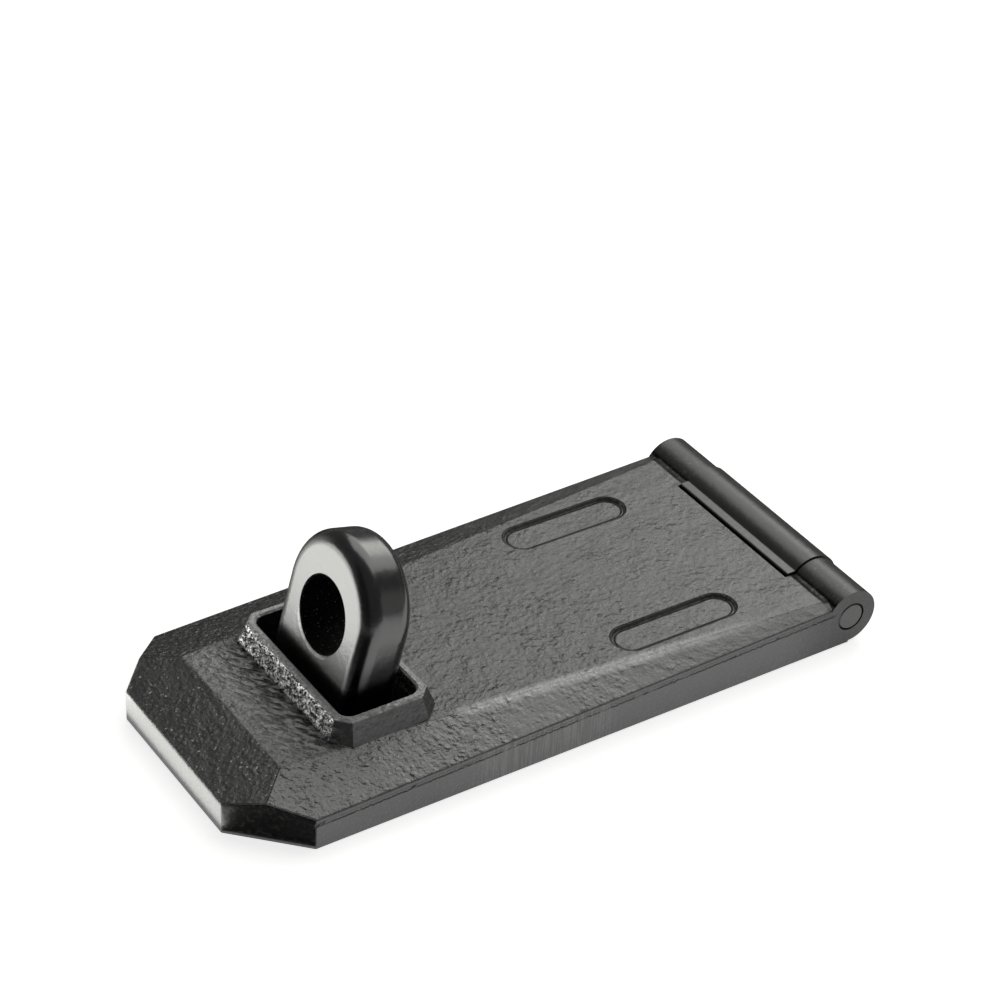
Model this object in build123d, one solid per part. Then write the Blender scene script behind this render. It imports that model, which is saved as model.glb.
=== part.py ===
from build123d import *
import math
import os

# Frame: X runs from the free end (minus) to the hinge (plus), Z = 0 is the mounting surface.
# All sizes are millimetres.

# Overall size
LENGTH = 180.0            # free end of the cover to the outside of the hinge barrel
WIDTH = 80.0

# Hinge
BARREL_R = 8.0            # middle knuckle, on the fixed leaf
BARREL_STEP = 0.45        # how far the cover's knuckles stay below the middle one
PIN_R = 4.0
PIN_CLEAR = 0.05          # running clearance of the pin in the middle knuckle
PIN_CHAMFER = 0.6
KNUCKLE_L = 47.0          # gap in the cover that takes the middle knuckle
KNUCKLE_GAP = 0.3         # end play at each face of the middle knuckle
RELIEF = 2.3              # barrel to the hollow edge of the cover behind the middle knuckle
SLIT = 0.4                # hollow edge to the middle knuckle's root
ROOT_Z = 13.7             # flat top of the root
ROOT_ROUND = 0.3
LUG_REACH = 10.0          # hinge axis to the inner end of the cover's solid lugs
SWING_CLEAR = 0.6         # room for the lugs' lower corners as the cover swings
VALLEY_R = 0.6            # fillet where a knuckle grows out of its leaf

# Cover leaf
TOP_Z = 13.1              # flat top
END_H = 8.5               # height of the free end face
CORNER_CUT = 16.0         # 45 degree corners at the free end
END_BEVEL = 15.7          # plan width of the bevel at the free end
SIDE_BEVEL_END = 16.0     # plan width of the side bevel at the free end
SIDE_BEVEL_HINGE = 3.0    # plan width of the side bevel at the hinge axis
WALL = 5.0                # skirt round the pocket
RIDGE_R = 2.5             # soft ridges between the top and its bevels
EDGE_R = 0.8              # other outer edges

# Staple
EYE_R = 18.35             # rounded head
EYE_T = 14.0              # thickness
EYE_Z = 32.5              # height of the head's centre
EYE_SET = 3.65            # head's centre from the collar's centre line, towards the hinge
EYE_LEAN = 14.3           # degrees, back towards the hinge, along the cover's swing
LEAN_Z = 16.5             # height at which the lean starts
EYE_ROUND = 4.3           # outer edges
BORE_R = 9.5              # shackle bore
BORE_DROP = 2.3           # bore centre below the head's centre, along the lean
BORE_CHAMFER = 0.4
FLANGE_T = 2.5            # foot that is trapped under the staple plate
FLANGE_STEP = 3.0
FLANGE_CORNER = 4.0
SEAT_CLEAR = 0.15

# Collar on the cover
COLLAR_FROM_END = 44.3    # free end to the collar's centre line
COLLAR_H = 5.9            # above the flat top
COLLAR_RIM = 2.0          # width of the rim at the top
COLLAR_DRAFT = 20.5       # degrees
COLLAR_CUT = 3.0          # 45 degree corners at the top of the collar
COLLAR_CHAMFER = 0.5      # both edges of the rim
SLOT_CLEAR_X = 3.3        # slot to staple, along the cover
SLOT_CLEAR_Y = 3.85       # slot to staple, across the cover
SLOT_CORNER = 3.0

# Two bare sunk fields on the cover
FIELD_L = 36.0
FIELD_W = 9.8
FIELD_DEPTH = 0.8
FIELD_DRAFT = 25.0        # degrees
FIELD_FROM_END = 127.5    # free end to the middle of the fields
FIELD_Y = 24.4            # centre line to the middle of the fields

# Fixed plates under the cover
PLATE_T = 5.0
PLATE_CLEAR = 0.5         # plates to the ceiling of the pocket
PLATE_GAP = 3.0           # plates to the skirt
PLATE_CORNER = 4.0
HINGE_PLATE_L = 60.0
STAPLE_PLATE_L = 58.0
HOLE_R = 4.25
HEAD_R = 8.0              # countersink
HOLE_EDGE = 10.0          # hole centres to the plate's edges

# Places that follow from the sizes
FREE_X = -LENGTH / 2
HINGE_X = LENGTH / 2 - BARREL_R
HINGE_Z = BARREL_R
LUG_R = BARREL_R - BARREL_STEP
RELIEF_R = BARREL_R + RELIEF
ROOT_REACH = math.sqrt((RELIEF_R - SLIT) ** 2 - (ROOT_Z - HINGE_Z) ** 2)
COLLAR_X = FREE_X + COLLAR_FROM_END
POCKET_Z = PLATE_T + PLATE_CLEAR
LUG_X = HINGE_X - LUG_REACH
SHOULDER_X = HINGE_X - math.hypot(LUG_REACH, HINGE_Z) - SWING_CLEAR
LEAN = math.radians(EYE_LEAN)
EYE_X = COLLAR_X + EYE_SET
FOOT_X = EYE_X - (EYE_Z - LEAN_Z) * math.tan(LEAN)
FOOT_L = EYE_T / math.cos(LEAN)
SLOT_L = FOOT_L + 2 * SLOT_CLEAR_X
SLOT_W = 2 * EYE_R + 2 * SLOT_CLEAR_Y
RISE = (Align.CENTER, Align.CENTER, Align.MIN)


def leaf_outline(inset, end_x):
    """Plan of the cover, moved inwards by inset and ended at end_x."""
    half = WIDTH / 2 - inset
    start = FREE_X + inset
    cut = CORNER_CUT - inset * (2 - math.sqrt(2))
    return make_face(Polyline(
        (start, half - cut), (start + cut, half), (end_x, half),
        (end_x, -half), (start + cut, -half), (start, cut - half), close=True))


def axial_cylinder(radius, length, middle_y=0.0):
    """Cylinder along Y on the hinge axis."""
    return Pos(HINGE_X, middle_y, HINGE_Z) * Rot(X=90) * Cylinder(radius, length)


def plane_through(a, b, c):
    """Plane through three points, facing up."""
    normal = (Vector(*b) - Vector(*a)).cross(Vector(*c) - Vector(*a))
    if normal.Z < 0:
        normal = normal * -1
    return Plane(origin=a, z_dir=normal)


def valley_web(radius, level, length):
    """Web along Y that rounds the corner between a knuckle and the flat at the given height."""
    reach = radius + VALLEY_R
    drop = level - HINGE_Z
    centre = Vector(-math.sqrt(reach ** 2 - (drop + VALLEY_R) ** 2), drop + VALLEY_R)
    on_flat = Vector(centre.X, drop)
    on_knuckle = centre * (radius / reach)
    middle = centre - (centre.normalized() + Vector(0, 1)).normalized() * VALLEY_R
    arc = ThreePointArc(on_flat, middle, on_knuckle)
    sides = Polyline(on_knuckle, (on_knuckle.X, drop - VALLEY_R), (on_flat.X, drop - VALLEY_R), on_flat)
    web = extrude(Plane.XZ * make_face([arc, sides]), length / 2, both=True)
    return Pos(HINGE_X, 0, HINGE_Z) * web


def countersunk_hole(x, y):
    """Cutter for one screw hole through a plate, with its head on the upper face."""
    sink = HEAD_R - HOLE_R
    bore = Pos(x, y, 0) * Cylinder(HOLE_R, PLATE_T, align=RISE)
    return bore + Pos(x, y, PLATE_T - sink) * Cone(HOLE_R, HEAD_R, sink, align=RISE)


def four_holes(x_low, x_high, half_y):
    """Cutters for a rectangle of holes."""
    return [countersunk_hole(x, y) for x in (x_low, x_high) for y in (-half_y, half_y)]


def bevel_planes():
    """The free end's bevel and the two side bevels."""
    ridge_x = FREE_X + END_BEVEL
    half = WIDTH / 2
    planes = [plane_through((FREE_X, 0, END_H), (FREE_X, 1, END_H), (ridge_x, 0, TOP_Z))]
    for side in (1, -1):
        planes.append(plane_through(
            (ridge_x, side * (half - SIDE_BEVEL_END), TOP_Z),
            (HINGE_X, side * (half - SIDE_BEVEL_HINGE), TOP_Z),
            (FREE_X + CORNER_CUT, side * half, END_H)))
    return planes


def bevelled(solid):
    """What is left of a solid under the cover's bevels."""
    for plane in bevel_planes():
        solid = split(solid, bisect_by=plane, keep=Keep.BOTTOM)
    return solid


def cover_plate():
    """Plate with its free end and long sides bevelled and its edges softened."""
    plate = bevelled(extrude(leaf_outline(0, HINGE_X), TOP_Z))
    upper = plate.faces().filter_by(lambda f: f.normal_at().Z > 0.1)
    ridges = [e for e in plate.edges() if sum(e in f.edges() for f in upper) == 2]
    plate = fillet(ridges, RIDGE_R)
    walls = plate.faces().filter_by(lambda f: abs(f.normal_at().Z) < 0.01 and f.center().X < LUG_X)
    rim = walls.edges().filter_by(lambda e: e.center().Z > 0 and e.center().X < LUG_X)
    return fillet(rim, EDGE_R)


def collar():
    """Drafted collar with cut corners, sunk past the bevels that it overlaps."""
    depth = TOP_Z + COLLAR_H - END_H
    spread = depth * math.tan(math.radians(COLLAR_DRAFT))
    top_x = SLOT_L + 2 * COLLAR_RIM
    top_y = SLOT_W + 2 * COLLAR_RIM
    base_cut = COLLAR_CUT + spread * (2 - math.sqrt(2))
    upper = chamfer(Rectangle(top_x, top_y).vertices(), COLLAR_CUT)
    lower = chamfer(Rectangle(top_x + 2 * spread, top_y + 2 * spread).vertices(), base_cut)
    return loft([Pos(COLLAR_X, 0, END_H) * lower, Pos(COLLAR_X, 0, END_H + depth) * upper], ruled=True)


def field(middle_y):
    """Cutter for one shallow obround field in the top."""
    inset = 2 * FIELD_DEPTH * math.tan(math.radians(FIELD_DRAFT))
    upper = SlotOverall(FIELD_L, FIELD_W)
    lower = SlotOverall(FIELD_L - inset, FIELD_W - inset)
    sunk = loft([Pos(0, 0, TOP_Z - FIELD_DEPTH) * lower, Pos(0, 0, TOP_Z) * upper], ruled=True)
    return Pos(FREE_X + FIELD_FROM_END, middle_y, 0) * sunk


def cover_leaf():
    """Cast cover: bevelled plate, collar and slot, two end knuckles, pocket for the fixed plates."""
    leaf = cover_plate()
    lug_l = (WIDTH - KNUCKLE_L) / 2
    leaf -= axial_cylinder(RELIEF_R, KNUCKLE_L)
    for middle_y in ((WIDTH - lug_l) / 2, (lug_l - WIDTH) / 2):
        leaf += bevelled(Pos(0, middle_y, 0) * valley_web(LUG_R, TOP_Z, lug_l))
        leaf += axial_cylinder(LUG_R, lug_l, middle_y)
    leaf += collar()
    slot = RectangleRounded(SLOT_L, SLOT_W, SLOT_CORNER)
    leaf -= Pos(COLLAR_X, 0, 0) * extrude(slot, TOP_Z + COLLAR_H)
    rim = leaf.faces().filter_by(lambda f: abs(f.center().Z - TOP_Z - COLLAR_H) < 0.001)
    leaf = chamfer(rim.edges(), COLLAR_CHAMFER)
    leaf -= [field(FIELD_Y), field(-FIELD_Y)]
    leaf -= extrude(leaf_outline(WALL, LUG_X), POCKET_Z)
    opening_l = HINGE_X - COLLAR_X
    leaf -= Pos(COLLAR_X + opening_l / 2, 0, 0) * Box(opening_l, KNUCKLE_L, POCKET_Z, align=RISE)
    return leaf - axial_cylinder(PIN_R, WIDTH)


def hinge_plate():
    """Fixed leaf: countersunk plate, neck, and middle knuckle on an upright root."""
    half = WIDTH / 2 - WALL - PLATE_GAP
    start = SHOULDER_X - HINGE_PLATE_L
    knuckle_l = KNUCKLE_L - 2 * KNUCKLE_GAP
    plate = RectangleRounded(HINGE_PLATE_L, 2 * half, PLATE_CORNER)
    leaf = extrude(Pos(start + HINGE_PLATE_L / 2, 0) * plate, PLATE_T)
    neck_l = HINGE_X - SHOULDER_X + HINGE_PLATE_L / 2
    leaf += Pos(HINGE_X - neck_l / 2, 0, 0) * Box(neck_l, knuckle_l, PLATE_T, align=RISE)
    root = Pos(HINGE_X - ROOT_REACH / 2, 0, 0) * Box(ROOT_REACH, knuckle_l, ROOT_Z, align=RISE)
    root = fillet(root.edges().filter_by(Axis.Y).group_by(Axis.Z)[-1].sort_by(Axis.X)[0], ROOT_ROUND)
    leaf += root
    leaf += axial_cylinder(BARREL_R, knuckle_l)
    leaf += valley_web(BARREL_R, ROOT_Z, knuckle_l)
    leaf -= axial_cylinder(PIN_R + PIN_CLEAR, knuckle_l)
    return leaf - four_holes(start + HOLE_EDGE, SHOULDER_X - HOLE_EDGE, half - HOLE_EDGE)


def hinge_pin():
    """Plain pin, pressed into the cover's knuckles and flush with its sides."""
    pin = axial_cylinder(PIN_R, WIDTH)
    return chamfer(pin.edges().filter_by(GeomType.CIRCLE), PIN_CHAMFER)


def staple_foot_size(extra):
    """Plan size of the staple's foot, grown by extra on every side."""
    return FOOT_L + 2 * extra, 2 * EYE_R + 2 * extra


def staple():
    """Forged eye that leans along the cover's swing, on an upright foot with a flange."""
    face = Plane(origin=(EYE_X, 0, EYE_Z), x_dir=(0, -1, 0), z_dir=(-math.cos(LEAN), 0, math.sin(LEAN)))
    drop = EYE_Z + EYE_T
    profile = Circle(EYE_R) + Pos(0, -drop / 2) * Rectangle(2 * EYE_R, drop)
    eye = extrude(face * profile, EYE_T / 2, both=True)
    rims = [f.outer_wire().edges().filter_by(lambda e: e.center().Z > 0) for f in eye.faces().filter_by(face)]
    eye = fillet(rims[0] + rims[1], EYE_ROUND)
    eye -= face * Pos(0, -BORE_DROP) * Cylinder(BORE_R, 2 * EYE_T)
    bore_rims = eye.edges().filter_by(GeomType.CIRCLE).filter_by(lambda e: abs(e.radius - BORE_R) < 1e-6)
    eye = chamfer(bore_rims, BORE_CHAMFER)
    eye = split(eye, bisect_by=Plane.XY.offset(LEAN_Z), keep=Keep.TOP)
    section = eye.faces().sort_by(Axis.Z)[0]
    foot = extrude(section, LEAN_Z, dir=(0, 0, -1))
    flange = RectangleRounded(*staple_foot_size(FLANGE_STEP), FLANGE_CORNER)
    return eye + foot + Pos(FOOT_X, 0, 0) * extrude(flange, FLANGE_T)


def staple_plate():
    """Fixed plate that traps the staple's flange from above, stepped from beneath."""
    half = WIDTH / 2 - WALL - PLATE_GAP
    outline = leaf_outline(WALL + PLATE_GAP, FOOT_X + STAPLE_PLATE_L / 2)
    outline &= Pos(FOOT_X, 0) * Rectangle(STAPLE_PLATE_L, WIDTH)
    plate = extrude(outline, PLATE_T)
    window = RectangleRounded(*staple_foot_size(SEAT_CLEAR), EYE_ROUND / 2)
    seat = RectangleRounded(*staple_foot_size(FLANGE_STEP + SEAT_CLEAR), FLANGE_CORNER)
    plate -= Pos(FOOT_X, 0, 0) * extrude(window, PLATE_T)
    plate -= Pos(FOOT_X, 0, 0) * extrude(seat, FLANGE_T)
    reach = STAPLE_PLATE_L / 2 - HOLE_EDGE
    return plate - four_holes(FOOT_X - reach, FOOT_X + reach, half - HOLE_EDGE)


os.makedirs("parts", exist_ok=True)
nodes = {
    "cover_leaf": cover_leaf(),
    "hinge_plate": hinge_plate(),
    "hinge_pin": hinge_pin(),
    "staple": staple(),
    "staple_plate": staple_plate(),
}
for name, solid in nodes.items():
    export_step(solid, f"parts/{name}.step")
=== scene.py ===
"""Padlock hasp: its finishes, and a plain white studio with the photograph's camera."""
import math
from types import SimpleNamespace

import bpy
from mathutils import Matrix, Vector

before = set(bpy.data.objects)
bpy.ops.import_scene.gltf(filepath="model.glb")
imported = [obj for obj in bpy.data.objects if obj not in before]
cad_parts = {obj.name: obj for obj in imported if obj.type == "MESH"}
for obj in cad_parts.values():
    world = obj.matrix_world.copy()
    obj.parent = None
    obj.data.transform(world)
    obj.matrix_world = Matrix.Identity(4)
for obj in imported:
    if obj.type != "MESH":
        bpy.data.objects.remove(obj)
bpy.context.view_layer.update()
scene = bpy.context.scene
scene.view_settings.view_transform = "Standard"

MM_PER_M = 1000.0

# Camera, from lines fitted to the photograph. Lengths in metres, angles in degrees.
AZIMUTH = -34.53
ELEVATION = 34.87
ROLL = 2.80
DISTANCE = 0.73333
AIM_RIGHT = 0.00196
AIM_UP = 0.03939
LENS_MM = 105.22
SENSOR_MM = 36.0

# Cover, in millimetres, as far as its finish follows its shape
FREE_X = -90.0
RIDGE_X = -74.3
HINGE_X = 82.0
COLLAR_X = -45.7
TOP_Z = 13.1
RIDGE_Y_END = 24.0
RIDGE_Y_HINGE = 37.0
EDGE_Z_END = 8.5
EDGE_Z_HINGE = 12.2
RIM_Z = 19.0
FIELD_X = 37.5
FIELD_Y = 24.4
FIELD_L = 36.0
FIELD_W = 9.8
WRINKLE_X = (RIDGE_X + 5, COLLAR_X - 14)    # where the wrinkles start, and the collar's foot
GROUND_FROM = (-34.0, -24.0)                # grinding marks on the sides fade in and out along x
GROUND_TO = (14.0, 0.0)
SEAM_DROP = 1.5                             # parting line, below the edge of the bevel
SEAM_JAG = 2.2
GROOVE_INSET = 0.3                          # groove round the fields, inside their edge
WRINKLE_SLANT = 60.0                        # degrees

# Staple's bore, in millimetres
EYE_CENTRE = (-42.62, 0.0, 30.27)
EYE_AXIS = (-0.969, 0.0, 0.247)
EYE_BORE_R = 9.5

# Refraction of the coats
COAT_IOR = 2.0
PLATE_IOR = 1.8

# Cover's relief, in millimetres
FINE_RELIEF = 0.16
GRIT_RELIEF = 0.36
LUMP_RELIEF = 0.20
SWELL_RELIEF = 0.60
CRUST_RELIEF = 0.16
WRINKLE_RELIEF = (0.22, 0.90)               # at the ridge, at the collar
GRINDING_RELIEF = 0.24
SEAM_DEPTH = 0.65
GROOVE_DEPTH = 0.55
END_GRINDING = 0.11                         # share of the sides' grinding

# Share of the grain on the cover's calmer faces
PLAIN_GRAIN = 0.12                          # knuckles, cut corners and end
END_BEVEL_GRAIN = 0.45
SIDE_GRAIN = 0.35
SIDE_BEVEL_GRAIN = 0.85
LENGTHWISE_GRAIN = (1.10, 0.50)             # at the free end, at the hinge

# Cover's grey, and what is added to it: wear and grinding marks, painted highlights and glints, and
# lighter wrinkle crests and apron
COVER_GREY = (0.010, 0.020)
SPECK_WEAR = (0.05, 0.50)                   # elsewhere, on the end bevel
# Painted highlight on the crests of the grain
CREST_PAINTED_HIGHLIGHT = (0.05, 0.0)                    # elsewhere, on the end bevel
# Painted highlight along the near ridge
RIDGE_PAINTED_HIGHLIGHT = 0.80
# Painted highlight along the collar's rim
RIM_PAINTED_HIGHLIGHT = 0.70
# Lighter on the crests of the wrinkles
WRINKLE_CREST_LIGHTER = 0.15
# Lighter on the level strip behind the end ridge
APRON_LIGHTER = 0.19
# Painted glints: light flecks on the collar's front, most near its edges
FLECK_PAINTED_GLINT = 0.90
END_WEAR = 0.10
GRINDING_WEAR = 0.14
FLECKS_BETWEEN_EDGES = 0.45                 # share of the flecks away from the collar's edges

# Cover's roughness, and what its places add to it
COVER_ROUGHNESS = 0.34
GRAIN_ROUGHER = 0.12
CORNER_ROUGHER = -0.02
FLECK_ROUGHER = 0.10
BARREL_ROUGHER = -0.03
LUG_ROUGHER = 0.15
SIDE_BEVEL_ROUGHER = (-0.12, 0.06)          # towards the free end, towards the hinge

# Share of dark metal on the cover: it dims the knuckles, and in the wrinkles' hollows and the valley by
# the knuckles it is painted shade
KNUCKLE_DARK_METAL = 0.28
# Painted shade in the hollows of the wrinkles
HOLLOW_PAINTED_SHADE = 0.90
# Painted shade in the valley by the knuckles
VALLEY_PAINTED_SHADE = 0.75

# Staple's finish
STAPLE_GREY = (0.007, 0.012)
STAPLE_RELIEF = 0.03
STAPLE_ROUGHNESS = 0.20
STAPLE_GRAIN_ROUGHER = 0.06
# Painted shade in the bore
BORE_PAINTED_SHADE = -0.004
BORE_SPECK = 0.15
BORE_RELIEF = 0.25
BORE_ROUGHER = 0.45
FAR_EDGE_ROUGHER = 0.20
LIP_WEAR = 1.1
# Painted shade on the lower flanks
FLANK_PAINTED_SHADE = 0.8
# Painted shade along the near rounded edge of the front
NEAR_EDGE_PAINTED_SHADE = 0.6

# Plates and pin: grey, roughness, relief in millimetres
PLATE_FINISH = (0.016, 0.28, 0.05)
PIN_FINISH = (0.018, 0.38, 0.02)
EVEN_ROUGHER = 0.10
EVEN_SPREAD = 0.2                           # the grey varies by this share

# Studio, in metres
FLOOR_HALF = 6
FLOOR_LEVEL = -0.0002
FLOOR_GREY = 0.85
FLOOR_GLOW = 0.75
CARD_LEVEL = 0.0005
CARD_GREY = 0.05
CARDS = {
    "card_before": [(-0.0742, -0.0402), (-0.0902, -0.0242), (-0.50, -0.12), (-0.20, -0.50)],
    "card_behind": [(-0.088, 0.0405), (-0.09, 1.5), (0.9, 1.5), (0.9, -0.04), (0.0925, -0.04),
                    (0.0925, 0.0405)],
    "card_left": [(-0.35, -0.12), (-0.35, 0.02), (-0.13, 0.025), (-0.13, -0.045)],
}
LAMP_COLOUR = (1.0, 1.0, 0.957)
WORLD_STRENGTH = 0.11
# Name, place, target, width, height, radiance
LAMPS = [
    ("overhead", (0.493, 0.320, 0.809), (0.0, 0.0, 0.01), 1.20, 1.10, 1.4),
    ("overhead_core", (0.649, 0.390, 0.540), (0.0, 0.0, 0.03), 0.36, 0.30, 1.7),
    ("fill", (0.672, -0.672, 0.309), (0.0, 0.0, 0.03), 0.60, 0.40, 0.25),
    ("side_low", (-0.50, 0.463, 0.06), (0.0, 0.0, 0.016), 0.30, 0.10, 3.0),
    ("light_table", (-0.212, 0.165, 0.001), (-0.212, 0.165, 1.0), 0.236, 0.270, 3.3),
    ("end_strip", (-0.0985, 0.005, 0.001), (-0.0985, 0.005, 1.0), 0.015, 0.062, 2.5),
]


# Node helpers

def add(tree, kind, inputs=None, **settings):
    """Adds a shader node, and sets or links its inputs."""
    made = tree.nodes.new("ShaderNode" + kind)
    for key, value in settings.items():
        setattr(made, key, value)
    for key, value in (inputs or {}).items():
        if isinstance(value, bpy.types.NodeSocket):
            tree.links.new(value, made.inputs[key])
        else:
            made.inputs[key].default_value = value
    return made


def calc(tree, operation, a, b=0.0):
    return add(tree, "Math", {0: a, 1: b}, operation=operation).outputs[0]


def vector_calc(tree, operation, a, b):
    return add(tree, "VectorMath", {0: a, 1: b}, operation=operation).outputs[0]


def absolute(tree, value):
    return calc(tree, "ABSOLUTE", value)


def less(tree, value, taken):
    return calc(tree, "SUBTRACT", value, taken)


def greatest(tree, a, b):
    return calc(tree, "MAXIMUM", a, b)


def at_most_one(tree, value):
    return calc(tree, "MINIMUM", value, 1.0)


def times(tree, *factors):
    product = factors[0]
    for factor in factors[1:]:
        product = calc(tree, "MULTIPLY", product, factor)
    return product


def total(tree, *terms):
    result = terms[0]
    for term in terms[1:]:
        result = calc(tree, "ADD", result, term)
    return result


def span(tree, value, low, high, to_low=0.0, to_high=1.0, kind="SMOOTHSTEP"):
    """Value from low to high, mapped to to_low..to_high and held beyond them."""
    inputs = {"Value": value, "From Min": low, "From Max": high, "To Min": to_low, "To Max": to_high}
    return add(tree, "MapRange", inputs, interpolation_type=kind).outputs[0]


def mix(tree, mask, outside, inside):
    """One value outside a mask, and another inside it."""
    return span(tree, mask, 0.0, 1.0, outside, inside)


def noise(tree, vector, scale, detail=2.0, roughness=0.5, distortion=0.0):
    """Noise from 0 to 1, with its scale per millimetre."""
    inputs = {"Vector": vector, "Scale": scale, "Detail": detail, "Roughness": roughness,
              "Distortion": distortion}
    return add(tree, "TexNoise", inputs).outputs[0]


def axes(tree, vector):
    return add(tree, "SeparateXYZ", {0: vector}).outputs


def empty_material(name):
    material = bpy.data.materials.new(name)
    material.use_nodes = True
    material.node_tree.nodes.clear()
    return material, material.node_tree


def surface(tree):
    """Place in millimetres and normal, in the piece's own frame."""
    coords = add(tree, "TexCoord").outputs
    place = add(tree, "VectorMath", {0: coords["Object"], "Scale": MM_PER_M}, operation="SCALE").outputs[0]
    return place, coords["Normal"]


def coated(tree, grey, roughness, height, dark_metal_and_painted_shade=0.0, ior=COAT_IOR):
    """Grey coat over a relief in millimetres. Where the metal mask is 1, dark metal shows instead; the
    callers use it mostly for painted shade.
    """
    colour = add(tree, "CombineColor", {0: grey, 1: grey, 2: grey}).outputs[0]
    bump = add(tree, "Bump", {"Strength": 1.0, "Distance": 1.0 / MM_PER_M, "Height": height}).outputs[0]
    shader = add(tree, "BsdfPrincipled", {
        "Base Color": colour, "Roughness": roughness, "Metallic": dark_metal_and_painted_shade, "IOR": ior, "Normal": bump})
    add(tree, "OutputMaterial", {"Surface": shader.outputs[0]})


# Cover's finish

def cover_zones(tree, place, normal):
    """Coordinates on the cover, and masks of its faces and of the places where its finish changes."""
    x, y, z = axes(tree, place)
    face_x, face_y, face_z = axes(tree, normal)
    forward = times(tree, face_x, -1.0)
    sideways = absolute(tree, face_y)
    across = absolute(tree, y)
    on = SimpleNamespace(x=x, z=z, across=across, face_z=face_z)

    # Faces of the plate
    sloped = span(tree, face_z, 0.75, 0.90)
    upper = span(tree, z, EDGE_Z_END - 1, EDGE_Z_END)
    on.end = times(tree, span(tree, forward, 0.80, 0.97), span(tree, x, FREE_X + 2, FREE_X + 1))
    on.side = span(tree, sideways, 0.80, 0.97)
    on.corner = span(tree, times(tree, forward, sideways), 0.25, 0.45)
    on.end_bevel = times(tree, span(tree, forward, 0.10, 0.22), sloped,
                         span(tree, x, RIDGE_X + 10, RIDGE_X + 6))
    on.side_bevel = times(tree, upper, span(tree, sideways, 0.12, 0.24), sloped)

    # Collar, with a painted highlight on its rim and painted glints on its front
    raised = times(tree, span(tree, z, TOP_Z + 0.2, TOP_Z + 0.9),
                   span(tree, x, HINGE_X - 20, HINGE_X - 25))
    on.collar_front = times(tree, raised, span(tree, forward, 0.72, 0.88))
    on.rim = times(tree, raised, span(tree, z, RIM_Z - 0.7, RIM_Z - 0.3))
    on.collar_edges = total(tree, FLECKS_BETWEEN_EDGES, span(tree, z, TOP_Z + 2.4, TOP_Z + 0.8),
                            span(tree, z, RIM_Z - 2.0, RIM_Z - 1.0))

    # Knuckles, and the valley where they grow out of the plate, where shade is painted
    off_side = mix(tree, on.side, 1.0, 0.0)
    on.knuckle = span(tree, x, HINGE_X - 8, HINGE_X - 6)
    on.barrel = times(tree, on.knuckle, off_side)
    on.lug_side = times(tree, on.side, span(tree, x, HINGE_X - 24, HINGE_X))
    on.valley = times(tree, span(tree, x, HINGE_X - 7.8, HINGE_X - 7.0),
                      span(tree, x, HINGE_X - 4.6, HINGE_X - 5.6),
                      span(tree, z, TOP_Z - 0.4, TOP_Z - 0.1), off_side)

    # Wrinkles before the collar, with painted shade in their hollows, and the lighter apron behind the end
    # ridge
    on.before_collar = times(tree, upper, span(tree, x, RIDGE_X, RIDGE_X + 5),
                             span(tree, x, COLLAR_X - 11, COLLAR_X - 14), span(tree, across, 27.0, 18.0))
    on.apron = times(tree, upper, span(tree, x, COLLAR_X - 14, RIDGE_X + 3),
                     span(tree, face_z, 0.975, 0.995), span(tree, across, 28.0, 20.0))

    # Near ridge, where a highlight is painted along the near side
    ridge_y = span(tree, x, RIDGE_X, HINGE_X, RIDGE_Y_END, RIDGE_Y_HINGE, "LINEAR")
    from_ridge = absolute(tree, less(tree, across, ridge_y))
    on.ridge = times(tree, span(tree, from_ridge, 0.3, 2.4, 1.0, 0.0), upper, span(tree, y, 5.0, -5.0),
                     span(tree, x, COLLAR_X + 14, COLLAR_X + 22), span(tree, x, 75.0, 15.0))
    return on


def field_groove(tree, on):
    """Mask of the groove round the sunk fields."""
    past_middle = less(tree, absolute(tree, less(tree, on.x, FIELD_X)), (FIELD_L - FIELD_W) / 2)
    reach_x = greatest(tree, past_middle, 0.0)
    reach_y = less(tree, on.across, FIELD_Y)
    reach = calc(tree, "SQRT", total(tree, times(tree, reach_x, reach_x), times(tree, reach_y, reach_y)))
    from_edge = absolute(tree, less(tree, reach, FIELD_W / 2 - GROOVE_INSET))
    return times(tree, span(tree, from_edge, 0.25, 0.9, 1.0, 0.0), span(tree, on.face_z, 0.5, 0.8))


def parting_line(tree, place, on):
    """Mask of the jagged line that the mould left along the sides."""
    edge_z = span(tree, on.x, RIDGE_X, HINGE_X, EDGE_Z_END, EDGE_Z_HINGE, "LINEAR")
    lengthwise = vector_calc(tree, "MULTIPLY", place, (1.0, 0.0, 0.0))
    jag = times(tree, less(tree, noise(tree, lengthwise, 1.1, 3.0, 0.75), 0.5), SEAM_JAG)
    under_edge = total(tree, edge_z, times(tree, on.z, -1.0), jag)
    from_seam = absolute(tree, less(tree, under_edge, SEAM_DROP))
    broken = span(tree, noise(tree, place, 0.22), 0.40, 0.55, 0.25, 1.0)
    return times(tree, span(tree, from_seam, 0.20, 0.70, 1.0, 0.0), on.side,
                 span(tree, on.x, HINGE_X - 4, HINGE_X - 8), broken)


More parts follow.
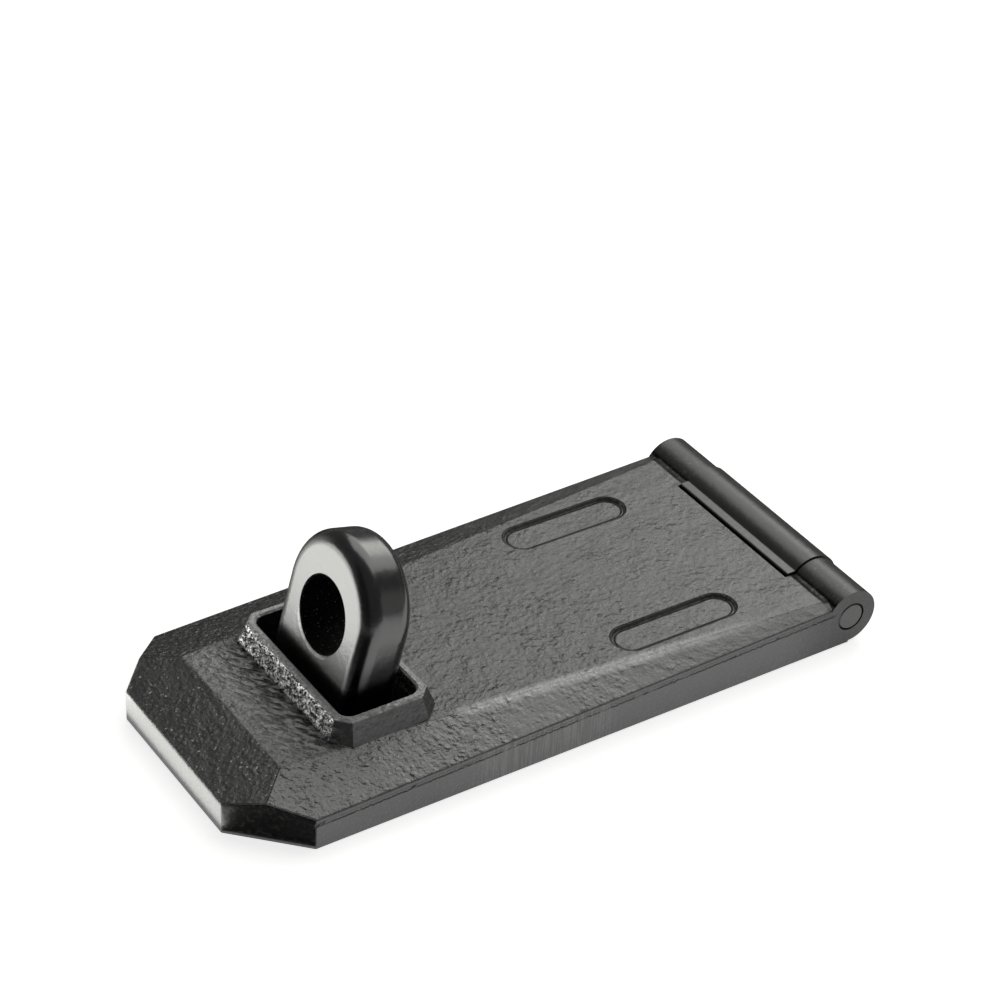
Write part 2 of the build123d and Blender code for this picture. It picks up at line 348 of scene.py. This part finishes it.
def cover_textures(tree, place, on):
    """Patterns that the cover's relief and its wear share."""
    of = SimpleNamespace()
    of.fine = noise(tree, place, 1.1, 4.0, 0.62)
    of.crust = noise(tree, place, 1.5, 3.0, 0.6)
    of.streak = noise(tree, vector_calc(tree, "MULTIPLY", place, (1.0, 1.0, 0.05)), 1.3, 3.0, 0.65)
    of.patch = span(tree, noise(tree, place, 0.045), 0.36, 0.64, 0.75, 1.2)
    of.along = span(tree, on.x, -70.0, 70.0, *LENGTHWISE_GRAIN)

    slant = add(tree, "VectorRotate", {"Vector": place, "Angle": math.radians(WRINKLE_SLANT)},
                rotation_type="Z_AXIS").outputs[0]
    drawn = vector_calc(tree, "MULTIPLY", slant, (0.32, 1.0, 1.0))
    of.wrinkle = span(tree, noise(tree, drawn, 0.9, 2.0, 0.55, 0.3), 0.36, 0.56)

    side_grinding = times(tree, on.side, span(tree, on.x, *GROUND_TO), span(tree, on.x, *GROUND_FROM))
    of.ground = total(tree, times(tree, on.end, END_GRINDING), side_grinding)
    return of


def cover_relief(tree, place, on, of):
    """Height of the cover's surface, in millimetres."""
    wobble = add(tree, "TexNoise", {"Vector": place, "Scale": 0.6, "Detail": 2.0}).outputs["Color"]
    wobbled = vector_calc(tree, "ADD", place, wobble)
    cells = add(tree, "TexVoronoi", {"Vector": wobbled, "Scale": 0.55}).outputs["Distance"]
    strewn = span(tree, noise(tree, place, 0.28), 0.40, 0.60)
    lump = times(tree, span(tree, cells, 0.0, 0.6, 1.0, 0.0), strewn)
    grit = noise(tree, place, 0.55)
    swell = noise(tree, place, 0.13)

    plain = greatest(tree, on.knuckle, greatest(tree, on.corner, on.end))
    calm = times(tree, mix(tree, plain, 1.0, PLAIN_GRAIN), mix(tree, on.end_bevel, 1.0, END_BEVEL_GRAIN),
                 mix(tree, on.side, 1.0, SIDE_GRAIN), mix(tree, on.side_bevel, 1.0, SIDE_BEVEL_GRAIN))
    grain = total(tree, times(tree, of.fine, FINE_RELIEF), times(tree, grit, GRIT_RELIEF),
                  times(tree, lump, LUMP_RELIEF))
    wrinkling = span(tree, on.x, *WRINKLE_X, *WRINKLE_RELIEF)
    return total(tree, times(tree, grain, of.patch, of.along, calm),
                 times(tree, of.wrinkle, on.before_collar, wrinkling),
                 times(tree, swell, calm, SWELL_RELIEF),
                 times(tree, of.crust, on.collar_front, CRUST_RELIEF),
                 times(tree, of.streak, of.ground, GRINDING_RELIEF),
                 times(tree, parting_line(tree, place, on), -SEAM_DEPTH),
                 times(tree, field_groove(tree, on), -GROOVE_DEPTH))


def cast_cover():
    """Casting under a semi-gloss black coat: pebbled, wrinkled before the collar, ground at its end."""
    material, tree = empty_material("cast_cover_coat")
    place, normal = surface(tree)
    on = cover_zones(tree, place, normal)
    of = cover_textures(tree, place, on)
    # Flecks on the collar's front, most near its edges: painted glints, and rougher than the coat round
    # them
    painted_glint_flecks = times(tree, on.collar_front, on.collar_edges, span(tree, of.crust, 0.44, 0.56))
    painted_glint_flecks = at_most_one(tree, painted_glint_flecks)

    tone = total(tree, times(tree, of.fine, 0.5), times(tree, noise(tree, place, 0.08, 3.0), 0.5))
    speck = span(tree, noise(tree, place, 0.95, 1.0), 0.68, 0.75)
    # Painted highlight on the crests of the grain
    crest_highlight = span(tree, of.fine, 0.50, 0.64)
    grey = total(tree, span(tree, tone, 0.3, 0.7, *COVER_GREY),
                 times(tree, speck, mix(tree, on.end_bevel, *SPECK_WEAR)),
                 times(tree, crest_highlight, of.along, of.patch, mix(tree, on.end_bevel, *CREST_PAINTED_HIGHLIGHT)),
                 # painted highlight along the near ridge
                 times(tree, on.ridge, of.fine, RIDGE_PAINTED_HIGHLIGHT),
                 # painted highlight along the collar's rim
                 times(tree, on.rim, of.fine, RIM_PAINTED_HIGHLIGHT),
                 times(tree, on.before_collar, of.wrinkle, WRINKLE_CREST_LIGHTER),
                 times(tree, on.apron, of.fine, APRON_LIGHTER),
                 times(tree, painted_glint_flecks, FLECK_PAINTED_GLINT),
                 times(tree, on.end, of.streak, END_WEAR),
                 times(tree, of.ground, on.side, span(tree, of.streak, 0.42, 0.58), GRINDING_WEAR))

    roughness = total(tree, COVER_ROUGHNESS,
                      times(tree, of.fine, GRAIN_ROUGHER),
                      times(tree, on.corner, CORNER_ROUGHER),
                      times(tree, painted_glint_flecks, FLECK_ROUGHER),
                      times(tree, on.barrel, BARREL_ROUGHER),
                      times(tree, on.lug_side, LUG_ROUGHER),
                      times(tree, on.side_bevel, span(tree, on.x, -20.0, 70.0, *SIDE_BEVEL_ROUGHER)))

    # Painted shade in the hollows of the wrinkles, as dark metal
    hollow_shade = times(tree, on.before_collar, span(tree, of.wrinkle, 0.0, 0.8, 1.0, 0.0),
                   span(tree, on.x, *WRINKLE_X, 0.15, 1.0))
    # dark metal over the collar's front, so that its painted glints show as bright reflections
    dark_metal_and_painted_shade = total(tree, on.collar_front,
                 times(tree, total(tree, on.barrel, on.lug_side), KNUCKLE_DARK_METAL),
                 times(tree, hollow_shade, HOLLOW_PAINTED_SHADE),
                 # painted shade in the valley by the knuckles
                 times(tree, on.valley, VALLEY_PAINTED_SHADE))
    coated(tree, grey, roughness, cover_relief(tree, place, on, of), at_most_one(tree, dark_metal_and_painted_shade))
    return material


# Finish of the other pieces

def smooth_coat(name, grey, gloss, relief):
    """Even black coat over a smooth forging or a turned pin."""
    material, tree = empty_material(name)
    place, _ = surface(tree)
    fine = noise(tree, place, 0.7, 3.0)
    broad = noise(tree, place, 0.09)
    shade = span(tree, broad, 0.35, 0.65, grey * (1 - EVEN_SPREAD), grey * (1 + EVEN_SPREAD), "LINEAR")
    roughness = total(tree, gloss, times(tree, fine, EVEN_ROUGHER))
    coated(tree, shade, roughness, times(tree, fine, relief), ior=PLATE_IOR)
    return material


def forged_staple():
    """Glossy black coat, with a rough bore darkened by painted shade, painted shade on the lower flanks
    and along the near rounded edge, and a worn lip under the bore.
    """
    material, tree = empty_material("staple_coat")
    place, normal = surface(tree)
    _, y, z = axes(tree, place)
    face_x, face_y, _ = axes(tree, normal)
    fine = noise(tree, place, 0.7, 3.0)
    rough = noise(tree, place, 1.4, 4.0, 0.65)
    speck = span(tree, noise(tree, place, 1.6, 1.0), 0.66, 0.76)

    from_centre = vector_calc(tree, "SUBTRACT", place, EYE_CENTRE)
    off_axis = vector_calc(tree, "CROSS_PRODUCT", from_centre, EYE_AXIS)
    radius = add(tree, "VectorMath", {0: off_axis}, operation="LENGTH").outputs["Value"]
    # Bore, where shade is painted as a darker grey and dark metal
    bore = span(tree, radius, EYE_BORE_R + 0.5, EYE_BORE_R + 0.2)
    front = span(tree, face_x, -0.45, -0.65)
    lip = times(tree, span(tree, radius, EYE_BORE_R + 1.8, EYE_BORE_R + 1.0), mix(tree, bore, 1.0, 0.0),
                front, span(tree, z, 30.0, 26.0), span(tree, y, -7.0, -1.0))
    # Painted shade on the flanks, towards the staple's foot
    lower_flank_shade = times(tree, span(tree, absolute(tree, face_y), 0.3, 0.7), span(tree, z, 30.0, 20.0))
    # Painted shade along the near rounded edge of the front
    near_edge_shade = times(tree, span(tree, face_y, -0.15, -0.35), front)
    far_edge = times(tree, span(tree, face_y, 0.03, 0.25), front)

    grey = total(tree, span(tree, fine, 0.3, 0.7, *STAPLE_GREY), times(tree, bore, speck, BORE_SPECK),
                 times(tree, bore, BORE_PAINTED_SHADE), times(tree, lip, fine, LIP_WEAR))
    roughness = total(tree, STAPLE_ROUGHNESS, times(tree, fine, STAPLE_GRAIN_ROUGHER),
                      times(tree, bore, BORE_ROUGHER), times(tree, far_edge, FAR_EDGE_ROUGHER))
    height = total(tree, times(tree, fine, STAPLE_RELIEF), times(tree, bore, rough, BORE_RELIEF))
    # Dark metal in the bore, on the lower flanks and along the near edge: painted shade
    dark_metal_and_painted_shade = total(tree, bore, times(tree, lower_flank_shade, FLANK_PAINTED_SHADE), times(tree, near_edge_shade, NEAR_EDGE_PAINTED_SHADE))
    coated(tree, grey, roughness, height, at_most_one(tree, dark_metal_and_painted_shade))
    return material


def dress(node, material):
    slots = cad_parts[node].data.materials
    slots.clear()
    slots.append(material)


dress("cover_leaf", cast_cover())
plate_coat = smooth_coat("cast_plate_coat", *PLATE_FINISH)
dress("hinge_plate", plate_coat)
dress("staple_plate", plate_coat)
dress("hinge_pin", smooth_coat("pin_coat", *PIN_FINISH))
dress("staple", forged_staple())


# Floor

def white_floor():
    """Plain white floor that also looks white to the camera and in reflections."""
    material, tree = empty_material("floor_white")
    path = add(tree, "LightPath").outputs
    seen = total(tree, path["Is Camera Ray"], path["Is Glossy Ray"], path["Is Transmission Ray"])
    glow = add(tree, "Emission", {"Strength": times(tree, seen, FLOOR_GLOW)})
    matt = add(tree, "BsdfDiffuse", {"Color": (FLOOR_GREY, FLOOR_GREY, FLOOR_GREY, 1.0)})
    both = add(tree, "AddShader", {0: glow.outputs[0], 1: matt.outputs[0]})
    add(tree, "OutputMaterial", {"Surface": both.outputs[0]})
    return material


def flat_mesh(name, corners, level):
    mesh = bpy.data.meshes.new(name)
    mesh.from_pydata([(x, y, level) for x, y in corners], [], [range(len(corners))])
    made = bpy.data.objects.new(name, mesh)
    scene.collection.objects.link(made)
    return made


floor_corners = [(-FLOOR_HALF, -FLOOR_HALF), (FLOOR_HALF, -FLOOR_HALF),
                 (FLOOR_HALF, FLOOR_HALF), (-FLOOR_HALF, FLOOR_HALF)]
floor = flat_mesh("floor", floor_corners, FLOOR_LEVEL)
floor.data.materials.append(white_floor())


def dark_card(name, corners):
    """Dark card that lies on the floor. Only reflections see it."""
    material = bpy.data.materials.new(name)
    material.use_nodes = True
    shader = material.node_tree.nodes["Principled BSDF"]
    shader.inputs["Base Color"].default_value = (CARD_GREY, CARD_GREY, CARD_GREY, 1.0)
    made = flat_mesh(name, corners, CARD_LEVEL)
    made.data.materials.append(material)
    made.visible_camera = False
    made.visible_diffuse = False
    made.visible_shadow = False


for card, card_corners in CARDS.items():
    dark_card(card, card_corners)


# Light

def softbox(name, place, target, width, height, radiance):
    """Soft rectangular lamp at a place, facing a target."""
    lamp = bpy.data.lights.new(name, "AREA")
    lamp.shape = "RECTANGLE"
    lamp.size = width
    lamp.size_y = height
    lamp.energy = radiance * math.pi * width * height
    lamp.color = LAMP_COLOUR
    made = bpy.data.objects.new(name, lamp)
    made.location = place
    made.rotation_euler = (Vector(target) - Vector(place)).to_track_quat("-Z", "Y").to_euler()
    made.visible_camera = False
    scene.collection.objects.link(made)


for lamp_row in LAMPS:
    softbox(*lamp_row)

world = bpy.data.worlds.new("studio")
scene.world = world
world.use_nodes = True
background = world.node_tree.nodes["Background"]
background.inputs["Color"].default_value = (1.0, 1.0, 1.0, 1.0)
background.inputs["Strength"].default_value = WORLD_STRENGTH


# Camera

def photo_camera():
    a, e, r = (math.radians(v) for v in (AZIMUTH, ELEVATION, ROLL))
    back = Vector((math.sin(a) * math.cos(e), -math.cos(a) * math.cos(e), math.sin(e)))
    level = Vector((math.cos(a), math.sin(a), 0.0))
    upright = back.cross(level)
    right = level * math.cos(r) + upright * math.sin(r)
    up = upright * math.cos(r) - level * math.sin(r)
    data = bpy.data.cameras.new("camera")
    data.lens = LENS_MM
    data.sensor_width = SENSOR_MM
    made = bpy.data.objects.new("camera", data)
    turn = Matrix((right, up, back)).transposed().to_4x4()
    made.matrix_world = Matrix.Translation(back * DISTANCE + right * AIM_RIGHT + up * AIM_UP) @ turn
    scene.collection.objects.link(made)
    scene.camera = made


photo_camera()
